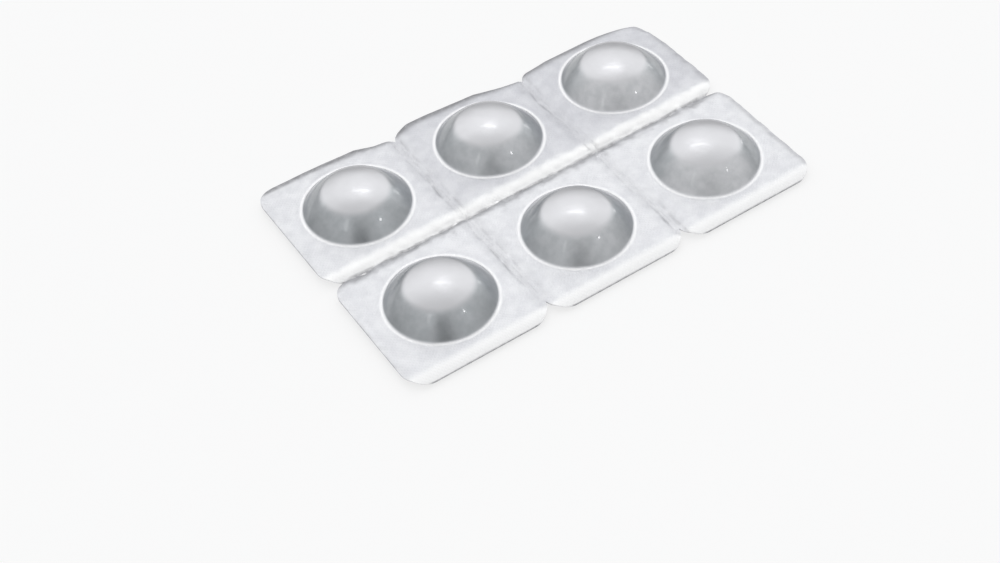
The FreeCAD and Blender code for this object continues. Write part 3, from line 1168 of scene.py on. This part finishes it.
class Shader:
    """Short calls for putting nodes into one tree."""

    def __init__(self, tree: bpy.types.NodeTree) -> None:
        """Works on a node tree."""
        self.tree = tree

    def node(self, kind: str, **settings: object) -> bpy.types.Node:
        """Adds a node and sets its properties.

        Args:
            kind: The node's type.
            settings: Values of its properties.

        Returns:
            The node.
        """
        node = self.tree.nodes.new(kind)
        for name, value in settings.items():
            setattr(node, name, value)
        return node

    def join(self, source: bpy.types.NodeSocket, target: bpy.types.NodeSocket) -> None:
        """Links an output to an input."""
        self.tree.links.new(source, target)

    def feed(self, target: bpy.types.NodeSocket, value: object) -> None:
        """Links an output to an input, or sets the input's own value.

        Args:
            target: The input.
            value: An output or a constant.
        """
        if isinstance(value, bpy.types.NodeSocket):
            self.join(value, target)
        else:
            target.default_value = value

    def math(self, operation: str, *values: object, clamp: bool = False) -> bpy.types.NodeSocket:
        """Adds a maths node and returns its output.

        Args:
            operation: What the node does.
            values: Outputs or constants.
            clamp: Whether the result stays from 0 to 1.

        Returns:
            The result.
        """
        node = self.node("ShaderNodeMath", operation=operation, use_clamp=clamp)
        for socket, value in zip(node.inputs, values):
            self.feed(socket, value)
        return node.outputs[0]

    def vector(self, operation: str, *values: object, output: str = "Vector") -> object:
        """Adds a vector maths node and returns the named output.

        Args:
            operation: What the node does.
            values: Outputs or constants.
            output: Name of the output.

        Returns:
            The result.
        """
        node = self.node("ShaderNodeVectorMath", operation=operation)
        for socket, value in zip(node.inputs, values):
            self.feed(socket, value)
        return node.outputs[output]

    def ramp(
        self, value: object, low: float, high: float, start: float, end: float
    ) -> bpy.types.NodeSocket:
        """Maps a value from one range to another with eased, clamped ends.

        Args:
            value: An output or a constant.
            low: Value at the start.
            high: Value at the end.
            start: Result at the start.
            end: Result at the end.

        Returns:
            The result.
        """
        node = self.node("ShaderNodeMapRange", interpolation_type="SMOOTHSTEP")
        for name, number in (
            ("From Min", low),
            ("From Max", high),
            ("To Min", start),
            ("To Max", end),
        ):
            node.inputs[name].default_value = number
        self.feed(node.inputs["Value"], value)
        return node.outputs[0]

    def mix(self, share: object, first: object, second: object) -> bpy.types.NodeSocket:
        """Mixes two colours by a share.

        Args:
            share: Share of the second, from 0 to 1.
            first: A colour.
            second: A colour.

        Returns:
            The mixed colour.
        """
        node = self.node("ShaderNodeMix", data_type="RGBA")
        sockets = [s for s in node.inputs if s.type == "RGBA"]
        self.feed(node.inputs["Factor"], share)
        self.feed(sockets[0], first)
        self.feed(sockets[1], second)
        return next(s for s in node.outputs if s.type == "RGBA")

    def blend(self, share: object, first: object, second: object) -> bpy.types.NodeSocket:
        """Mixes two numbers by a share.

        Args:
            share: Share of the second, from 0 to 1.
            first: A number.
            second: A number.

        Returns:
            The mixed number.
        """
        node = self.node("ShaderNodeMix", data_type="FLOAT")
        self.feed(node.inputs["Factor"], share)
        self.feed(node.inputs["A"], first)
        self.feed(node.inputs["B"], second)
        return node.outputs[0]

    def noise(self, place: object, scale: float, detail: float) -> bpy.types.NodeSocket:
        """Adds a noise texture and returns its value.

        Args:
            place: Where it is read, in millimetres.
            scale: How fine it is.
            detail: How many finer layers it has.

        Returns:
            The value from 0 to 1.
        """
        node = self.node("ShaderNodeTexNoise")
        self.feed(node.inputs["Vector"], place)
        self.feed(node.inputs["Scale"], scale)
        node.inputs["Detail"].default_value = detail
        return node.outputs["Fac"]

    def attribute(self, name: str) -> bpy.types.NodeSocket:
        """Reads one of the masks that the mesh carries."""
        return self.node("ShaderNodeAttribute", attribute_name=name).outputs["Fac"]

    def place(self, group: bpy.types.NodeTree, **values: object) -> bpy.types.Node:
        """Places a node group and feeds its inputs by name, with _ for a space.

        Args:
            group: The node group.
            values: Outputs or constants for its inputs.

        Returns:
            The group's node.
        """
        node = self.node("ShaderNodeGroup", node_tree=group)
        for name, value in values.items():
            self.feed(node.inputs[name.replace("_", " ")], value)
        return node


def new_group(
    name: str, inputs: dict[str, tuple[str, float]], outputs: list[str]
) -> tuple[Shader, bpy.types.Node, bpy.types.Node]:
    """Starts a shader node group with named sockets.

    Args:
        name: Name of the group.
        inputs: Kind and default of each input; a vector's default is ignored.
        outputs: Names of the outputs, which are all numbers.

    Returns:
        The group's nodes, its input node and its output node.
    """
    tree = bpy.data.node_groups.new(name, "ShaderNodeTree")
    for label, (kind, default) in inputs.items():
        socket = tree.interface.new_socket(label, in_out="INPUT", socket_type=kind)
        if kind == "NodeSocketFloat":
            socket.default_value = default
    for label in outputs:
        tree.interface.new_socket(label, in_out="OUTPUT", socket_type="NodeSocketFloat")
    shader = Shader(tree)
    return shader, shader.node("NodeGroupInput"), shader.node("NodeGroupOutput")


def foil_grain_group() -> bpy.types.NodeTree:
    """Rolled grain and cloudy mottling of foil.

    Returns:
        A group that gives a Height for bump and a Mottle value from 0 to 1.
    """
    shader, given, out = new_group(
        "foil_grain",
        {
            "Place": ("NodeSocketVector", 0.0),
            "Grain Scale": ("NodeSocketFloat", 3.0),
            "Mottle Scale": ("NodeSocketFloat", 0.3),
        },
        ["Height", "Mottle"],
    )
    place = given.outputs["Place"]
    stretched = shader.vector("MULTIPLY", place, (0.35, 1.6, 1.0))
    rolled = shader.noise(stretched, given.outputs["Grain Scale"], 3.0)
    pitted = shader.noise(place, given.outputs["Grain Scale"], 5.0)
    height = shader.math("ADD", shader.math("MULTIPLY", rolled, 0.6), pitted)
    shader.join(height, out.inputs["Height"])
    clouds = shader.noise(place, given.outputs["Mottle Scale"], 4.0)
    shader.join(shader.ramp(clouds, 0.3, 0.7, 0.0, 1.0), out.inputs["Mottle"])
    return shader.tree


def seal_knurl_group() -> bpy.types.NodeTree:
    """The fine crossed pattern that the sealing plate presses into both foils.

    Returns:
        A group that gives a Height of small pyramids at the given Pitch.
    """
    shader, given, out = new_group(
        "seal_knurl",
        {"Place": ("NodeSocketVector", 0.0), "Pitch": ("NodeSocketFloat", 0.6)},
        ["Height"],
    )
    parts = shader.node("ShaderNodeSeparateXYZ")
    shader.join(given.outputs["Place"], parts.inputs[0])
    slopes = []
    for operation in ("ADD", "SUBTRACT"):
        along = shader.math(operation, parts.outputs["X"], parts.outputs["Y"])
        turns = shader.math("DIVIDE", along, given.outputs["Pitch"])
        slopes.append(shader.math("PINGPONG", turns, 0.5))
    height = shader.math("MULTIPLY", shader.math("MINIMUM", *slopes), 2.0)
    shader.join(height, out.inputs["Height"])
    return shader.tree


def edge_shade_and_rubbing_group() -> bpy.types.NodeTree:
    """Patches along an edge mask: painted shade on the formed foil, and lighter rubbed patches on
    the lid foil.

    Returns:
        A group that gives Shade And Rubbing from 0 to 1, broken up by noise.
    """
    shader, given, out = new_group(
        "edge_shade_and_rubbing",
        {
            "Place": ("NodeSocketVector", 0.0),
            "Edge": ("NodeSocketFloat", 0.0),
            "Scale": ("NodeSocketFloat", 1.5),
        },
        ["Wear"],
    )
    patches = shader.noise(given.outputs["Place"], given.outputs["Scale"], 4.0)
    broken = shader.ramp(patches, 0.35, 0.65, 0.7, 1.0)
    shader.join(shader.math("MULTIPLY", broken, given.outputs["Edge"]), out.inputs["Wear"])
    return shader.tree


@dataclass(frozen=True)
class Effects:
    """The node groups that the finishes share."""

    grain: bpy.types.NodeTree
    knurl: bpy.types.NodeTree
    shade_and_rubbing: bpy.types.NodeTree


def new_material(name: str) -> tuple[bpy.types.Material, Shader, bpy.types.Node]:
    """Starts a material.

    Args:
        name: Name of the material.

    Returns:
        The material, its nodes and its Principled shader.
    """
    material = bpy.data.materials.new(name)
    material.use_nodes = True
    shader = Shader(material.node_tree)
    principled = material.node_tree.nodes["Principled BSDF"]
    return material, shader, principled


def object_place(shader: Shader) -> bpy.types.NodeSocket:
    """Object coordinates turned from metres into millimetres.

    Args:
        shader: The nodes to add to.

    Returns:
        The coordinates.
    """
    coordinates = shader.node("ShaderNodeTexCoord").outputs["Object"]
    scaled = shader.node("ShaderNodeVectorMath", operation="SCALE")
    shader.join(coordinates, scaled.inputs[0])
    scaled.inputs["Scale"].default_value = 1 / MM
    return scaled.outputs["Vector"]


@dataclass(frozen=True)
class FormedFoilFinish:
    """Satin laminate: pale where it is sealed, grey under a clear film where it is formed, with
    painted shade and highlights on its edges, creases, feet and pocket walls.
    """

    flange_color: tuple[float, float, float, float] = (0.68, 0.685, 0.71, 1.0)
    pale_color: tuple[float, float, float, float] = (0.79, 0.795, 0.815, 1.0)
    # Painted highlight on the lips that slope towards the camera's side.
    lip_highlight_color: tuple[float, float, float, float] = (0.98, 0.98, 0.98, 1.0)
    # Painted shade along edges, creases and perforation grooves.
    edge_shade_color: tuple[float, float, float, float] = (0.33, 0.33, 0.345, 1.0)
    # Painted highlight at each pocket's foot.
    ring_highlight_color: tuple[float, float, float, float] = (0.90, 0.90, 0.91, 1.0)
    # wall_color and cap_color paint the pocket's walls darker and its cap lighter, as painted
    # shade and painted light.
    wall_color: tuple[float, float, float, float] = (0.47, 0.49, 0.51, 1.0)
    # Painted reflection: paler walls on the camera's side of the right-hand pockets.
    wall_sheen_color: tuple[float, float, float, float] = (0.74, 0.745, 0.765, 1.0)
    cap_color: tuple[float, float, float, float] = (0.62, 0.62, 0.64, 1.0)
    # Painted shade on the sagging far right cells.
    sag_shade_share: float = 0.7
    flange_metal: float = 0.8
    lip_metal: float = 0.2
    flange_roughness: float = 0.5
    wall_roughness: float = 0.38
    wall_sheen_roughness: float = 0.56
    cap_roughness: float = 0.35
    film_roughness: float = 0.06
    grazing_tint: tuple[float, float, float, float] = (0.55, 0.55, 0.56, 1.0)
    # sag_shade_tint darkens the flange for that painted shade.
    sag_shade_tint: tuple[float, float, float] = (0.8, 0.8, 0.82)
    drawn_tint: tuple[float, float, float] = (0.88, 0.89, 0.89)
    flange_grain: tuple[float, float] = (4.0, 0.6)
    drawn_grain: tuple[float, float] = (1.6, 0.9)
    knurl_pitch: float = 0.55
    cloud_roughness: float = 0.03
    grain_share: float = 0.35
    relief: float = 0.018

    def build(self, effects: Effects) -> bpy.types.Material:
        """Makes the material.

        Args:
            effects: The shared node groups.

        Returns:
            The material.
        """
        material, shader, principled = new_material("formed_foil_laminate")
        place = object_place(shader)
        formed = shader.attribute("formed")
        fine, clouded = self.flange_grain
        grain = shader.place(effects.grain, Place=place, Grain_Scale=fine, Mottle_Scale=clouded)
        knurl = shader.place(effects.knurl, Place=place, Pitch=self.knurl_pitch)
        shade_and_rubbing = shader.place(effects.shade_and_rubbing, Place=place, Edge=shader.attribute("edge"))
        flange = shader.mix(grain.outputs["Mottle"], self.flange_color, self.pale_color)
        # Painted shade on the far right cells, where the foil sags.
        darker = shader.vector("MULTIPLY", flange, self.sag_shade_tint)
        sag_shade = shader.math("MULTIPLY", shader.attribute("sag_shade"), self.sag_shade_share)
        flange = shader.mix(sag_shade, flange, darker)
        # Painted highlight on the lips that slope towards the camera's side.
        flange = shader.mix(shader.attribute("lip"), flange, self.lip_highlight_color)
        # Painted shade along edges, creases and perforation grooves, broken into patches.
        flange = shader.mix(shade_and_rubbing.outputs["Wear"], flange, self.edge_shade_color)
        # Painted highlight on the ring at each pocket's foot.
        flange = shader.mix(shader.attribute("bead"), flange, self.ring_highlight_color)
        # Painted reflection: walls on the camera's side of the right-hand pockets are paler.
        wall = shader.mix(shader.attribute("painted_wall_sheen"), self.wall_color, self.wall_sheen_color)
        cap = shader.attribute("cap")
        fine, clouded = self.drawn_grain
        drawn = shader.place(effects.grain, Place=place, Grain_Scale=fine, Mottle_Scale=clouded)
        darker = shader.vector("MULTIPLY", wall, self.drawn_tint)
        wall = shader.mix(drawn.outputs["Mottle"], darker, wall)
        # Painted light: the cap is lighter and the walls darker than the same foil would be.
        pocket = shader.mix(cap, wall, self.cap_color)
        color = shader.mix(formed, flange, pocket)
        shader.join(color, principled.inputs["Base Color"])
        metal = shader.blend(shader.attribute("lip"), self.flange_metal, self.lip_metal)
        metal = shader.blend(formed, metal, 1.0)
        shader.join(metal, principled.inputs["Metallic"])
        rough = shader.blend(shader.attribute("painted_wall_sheen"), self.wall_roughness, self.wall_sheen_roughness)
        rough = shader.blend(cap, rough, self.cap_roughness)
        rough = shader.blend(formed, self.flange_roughness, rough)
        change = self.cloud_roughness
        cloud = shader.ramp(grain.outputs["Mottle"], 0.0, 1.0, -change, change)
        shader.join(shader.math("ADD", rough, cloud), principled.inputs["Roughness"])
        shader.join(formed, principled.inputs["Coat Weight"])
        principled.inputs["Coat Roughness"].default_value = self.film_roughness
        principled.inputs["Specular Tint"].default_value = self.grazing_tint
        sealed = shader.math("SUBTRACT", 1.0, formed, clamp=True)
        pressed = shader.math("MULTIPLY", knurl.outputs["Height"], sealed)
        height = shader.math("MULTIPLY_ADD", grain.outputs["Height"], self.grain_share, pressed)
        bump = shader.node("ShaderNodeBump")
        bump.inputs["Distance"].default_value = self.relief * MM
        shader.join(height, bump.inputs["Height"])
        shader.join(bump.outputs["Normal"], principled.inputs["Normal"])
        return material


@dataclass(frozen=True)
class LidFoilFinish:
    """Plain hard foil with the sealing plate's pattern outside the pockets."""

    color: tuple[float, float, float, float] = (0.80, 0.80, 0.81, 1.0)
    worn_color: tuple[float, float, float, float] = (0.88, 0.88, 0.88, 1.0)
    roughness: float = 0.36
    cloud_roughness: tuple[float, float] = (-0.04, 0.05)
    grain: tuple[float, float] = (2.5, 0.3)
    knurl_pitch: float = 0.8
    grain_share: float = 0.2
    relief: float = 0.03

    def build(self, effects: Effects) -> bpy.types.Material:
        """Makes the material.

        Args:
            effects: The shared node groups.

        Returns:
            The material.
        """
        material, shader, principled = new_material("lid_foil")
        place = object_place(shader)
        fine, clouded = self.grain
        grain = shader.place(effects.grain, Place=place, Grain_Scale=fine, Mottle_Scale=clouded)
        knurl = shader.place(effects.knurl, Place=place, Pitch=self.knurl_pitch)
        shade_and_rubbing = shader.place(effects.shade_and_rubbing, Place=place, Edge=shader.attribute("edge"))
        color = shader.mix(grain.outputs["Mottle"], self.color, self.worn_color)
        color = shader.mix(shade_and_rubbing.outputs["Wear"], color, self.worn_color)
        shader.join(color, principled.inputs["Base Color"])
        principled.inputs["Metallic"].default_value = 1.0
        cloud = shader.ramp(grain.outputs["Mottle"], 0.0, 1.0, *self.cloud_roughness)
        rough = shader.math("ADD", cloud, self.roughness)
        shader.join(rough, principled.inputs["Roughness"])
        sealed = shader.math("SUBTRACT", 1.0, shader.attribute("formed"), clamp=True)
        pressed = shader.math("MULTIPLY", knurl.outputs["Height"], sealed)
        height = shader.math("MULTIPLY_ADD", grain.outputs["Height"], self.grain_share, pressed)
        bump = shader.node("ShaderNodeBump")
        bump.inputs["Distance"].default_value = self.relief * MM
        shader.join(height, bump.inputs["Height"])
        shader.join(bump.outputs["Normal"], principled.inputs["Normal"])
        return material


@dataclass(frozen=True)
class FloorFinish:
    """Plain pale card."""

    color: tuple[float, float, float, float] = (0.84, 0.84, 0.84, 1.0)
    backdrop_share: float = 0.66
    fibre_scale: float = 0.4
    fibre_shade: float = 0.97

    def build(self) -> bpy.types.Material:
        """Makes the material, mostly plain white to the rays that show it as backdrop.

        Returns:
            The material.
        """
        material, shader, principled = new_material("pale_card")
        place = object_place(shader)
        fibres = shader.noise(place, self.fibre_scale, 4.0)
        shade = shader.ramp(fibres, 0.3, 0.7, 0.985, 1.0)
        darker = tuple(self.fibre_shade * c for c in self.color[:3]) + (1.0,)
        color = shader.mix(shade, darker, self.color)
        shader.join(color, principled.inputs["Base Color"])
        principled.inputs["Roughness"].default_value = 0.9
        principled.inputs["Specular IOR Level"].default_value = 0.1
        path = shader.node("ShaderNodeLightPath")
        shown = shader.math(
            "MAXIMUM", path.outputs["Is Camera Ray"], path.outputs["Is Glossy Ray"]
        )
        shown = shader.math("MAXIMUM", shown, path.outputs["Is Transmission Ray"])
        backdrop = shader.node("ShaderNodeEmission")
        backdrop.inputs["Strength"].default_value = 1.0
        blend = shader.node("ShaderNodeMixShader")
        shader.join(shader.math("MULTIPLY", shown, self.backdrop_share), blend.inputs[0])
        shader.join(principled.outputs["BSDF"], blend.inputs[1])
        shader.join(backdrop.outputs["Emission"], blend.inputs[2])
        target = material.node_tree.nodes["Material Output"].inputs["Surface"]
        shader.join(blend.outputs[0], target)
        return material


@dataclass
class BlisterPack:
    """The pack: formed foil over lid foil."""

    layout: PackLayout
    foil_thickness: float = 0.2
    lid_thickness: float = 0.05

    def build(self) -> list[bpy.types.Object]:
        """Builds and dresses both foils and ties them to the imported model.

        Returns:
            Both foils.
        """
        pocket = PocketForm()
        top = self.layout.height - pocket.height
        flange = FlangeForm(top=top, foil=self.foil_thickness)
        surface = FoilSurface(self.layout, pocket, flange)
        laminate = self.foil_thickness - self.lid_thickness
        formed = FormedFoil("formed_foil", surface, below_top=0.0, thickness=laminate)
        lid = LidFoil("lid_foil", surface, below_top=laminate, thickness=self.lid_thickness)
        pieces = [formed.build(), lid.build()]
        effects = Effects(foil_grain_group(), seal_knurl_group(), edge_shade_and_rubbing_group())
        finishes = [FormedFoilFinish(), LidFoilFinish()]
        for piece, finish in zip(pieces, finishes):
            piece.data.materials.append(finish.build(effects))
            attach(piece, BODY)
        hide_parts(NODE)
        return pieces


@dataclass(frozen=True)
class Lamp:
    """A rectangular lamp that faces the pack.

    bearing is measured from the camera's side of the pack, positive to its right, and
    radiance is the brightness of the lamp's face. A lamp that isn't mirrored lights matt
    surfaces only.
    """

    name: str
    bearing: float
    elevation: float
    distance: float
    width: float
    height: float
    radiance: float
    roll: float = 0.0
    mirrored: bool = True

    def build(self, camera_bearing: float) -> bpy.types.Object:
        """Adds the lamp, turned towards the pack.

        Args:
            camera_bearing: The camera's own bearing, in degrees.

        Returns:
            The lamp.
        """
        light = bpy.data.lights.new(self.name, "AREA")
        light.shape = "RECTANGLE"
        light.size = self.width
        light.size_y = self.height
        light.energy = self.radiance * math.pi * self.width * self.height
        lamp = bpy.data.objects.new(self.name, light)
        lamp.visible_glossy = self.mirrored
        back = direction(camera_bearing + self.bearing, self.elevation)
        turn = facing(back, math.radians(self.roll))
        lamp.matrix_world = Matrix.Translation(back * self.distance) @ turn
        bpy.context.scene.collection.objects.link(lamp)
        return lamp


def direction(bearing: float, elevation: float) -> Vector:
    """Unit vector towards a bearing from -Y and an elevation, both in degrees.

    Args:
        bearing: Angle from -Y towards +X.
        elevation: Angle above the floor.

    Returns:
        The vector.
    """
    around, up = math.radians(bearing), math.radians(elevation)
    level = math.cos(up)
    return Vector((math.sin(around) * level, -math.cos(around) * level, math.sin(up)))


def facing(back: Vector, roll: float) -> Matrix:
    """Rotation whose +Z axis points along back, level and then rolled, in radians.

    Args:
        back: Unit vector.
        roll: Turn about back.

    Returns:
        The rotation.
    """
    right = Vector((0.0, 0.0, 1.0)).cross(back).normalized()
    up = back.cross(right)
    turned_right = math.cos(roll) * right + math.sin(roll) * up
    turned_up = math.cos(roll) * up - math.sin(roll) * right
    return Matrix((turned_right, turned_up, back)).transposed().to_4x4()


@dataclass
class Studio:
    """Floor, lamps, world and camera.

    Each sky value says where its ramp starts and ends, and the levels there.
    """

    camera_bearing: float = -28.81
    camera_elevation: float = 47.464
    camera_roll: float = -6.093
    camera_distance: float = 214.8
    camera_target: tuple[float, float, float] = (-12.71, -11.91, 1.3)
    focal_length: float = 63.84
    sensor_width: float = 36.0
    floor_size: float = 3.0
    low_sky: tuple[float, float, float, float] = (0.05, 0.45, 0.4, 1.14)
    far_sky: tuple[float, float, float, float] = (0.1, 0.5, 0.68, 1.1)
    dim_sky: tuple[float, float, float, float] = (0.94, 0.997, 1.0, 0.1)
    dim_elevation: float = 32.0
    sky_color: tuple[float, float, float, float] = (0.99, 0.995, 1.0, 1.0)

    lamps: tuple[Lamp, ...] = (
        Lamp("cap_strip", 178.5, 56.0, 0.6, 0.19, 0.045, 2.6, roll=-6.0),
        Lamp("left_strip", -36.0, 43.0, 0.6, 0.06, 0.14, 1.4),
        Lamp("spark", 56.0, 39.0, 0.6, 0.025, 0.025, 14.0),
        Lamp("right_window", 130.0, 9.0, 0.6, 0.05, 0.09, 2.0),
        Lamp("right_panel", 130.0, 16.0, 0.6, 0.3, 0.24, 0.22),
        Lamp("ceiling", 0.0, 88.0, 0.6, 0.5, 0.5, 0.8, mirrored=False),
    )

    def build(self) -> None:
        """Builds everything around the pack."""
        self.build_camera()
        self.build_floor()
        self.build_world()
        for lamp in self.lamps:
            lamp.build(self.camera_bearing)
        bpy.context.scene.view_settings.view_transform = "Standard"

    def build_camera(self) -> None:
        """Adds the camera at the photograph's viewing angle."""
        data = bpy.data.cameras.new("camera")
        data.lens = self.focal_length
        data.sensor_width = self.sensor_width
        data.clip_start = 0.01
        data.clip_end = 20.0
        camera = bpy.data.objects.new("camera", data)
        back = direction(self.camera_bearing, self.camera_elevation)
        place = (Vector(self.camera_target) + back * self.camera_distance) * MM
        roll = math.radians(self.camera_roll)
        camera.matrix_world = Matrix.Translation(place) @ facing(back, roll)
        bpy.context.scene.collection.objects.link(camera)
        bpy.context.scene.camera = camera

    def build_floor(self) -> None:
        """Adds the pale floor."""
        half = self.floor_size / 2
        mesh = bpy.data.meshes.new("floor")
        corners = [(-half, -half, 0.0), (half, -half, 0.0), (half, half, 0.0), (-half, half, 0.0)]
        mesh.from_pydata(corners, [], [(0, 1, 2, 3)])
        floor = bpy.data.objects.new("floor", mesh)
        floor.data.materials.append(FloorFinish().build())
        bpy.context.scene.collection.objects.link(floor)

    def build_world(self) -> None:
        """Lights the room: pale above, grey low down and dim around the camera."""
        world = bpy.data.worlds.new("studio")
        bpy.context.scene.world = world
        world.use_nodes = True
        shader = Shader(world.node_tree)
        background = world.node_tree.nodes["Background"]
        toward = shader.node("ShaderNodeTexCoord").outputs["Generated"]
        parts = shader.node("ShaderNodeSeparateXYZ")
        shader.join(toward, parts.inputs[0])
        low = shader.ramp(parts.outputs["Z"], *self.low_sky)
        away = direction(self.camera_bearing + 180.0, 0.0)
        behind = shader.vector("DOT_PRODUCT", toward, tuple(away), output="Value")
        high = shader.ramp(behind, *self.far_sky)
        level = shader.math("MULTIPLY", low, high)
        camera = direction(self.camera_bearing, self.dim_elevation)
        near = shader.vector("DOT_PRODUCT", toward, tuple(camera), output="Value")
        dim = shader.ramp(near, *self.dim_sky)
        seen = shader.node("ShaderNodeLightPath").outputs["Is Camera Ray"]
        strength = shader.blend(seen, shader.math("MULTIPLY", level, dim), 1.0)
        shader.join(strength, background.inputs["Strength"])
        background.inputs["Color"].default_value = self.sky_color


def main() -> None:
    """Builds the pack and its studio and reports each piece."""
    logging.basicConfig(level=logging.INFO, format="%(name)s: %(message)s")
    low, high = (Vector(corner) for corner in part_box(NODE))
    pack = BlisterPack(PackLayout(low, high))
    for piece in pack.build():
        LOG.info("%s has %d faces", piece.name, len(piece.data.polygons))
    Studio().build()


if __name__ == "__main__":
    main()
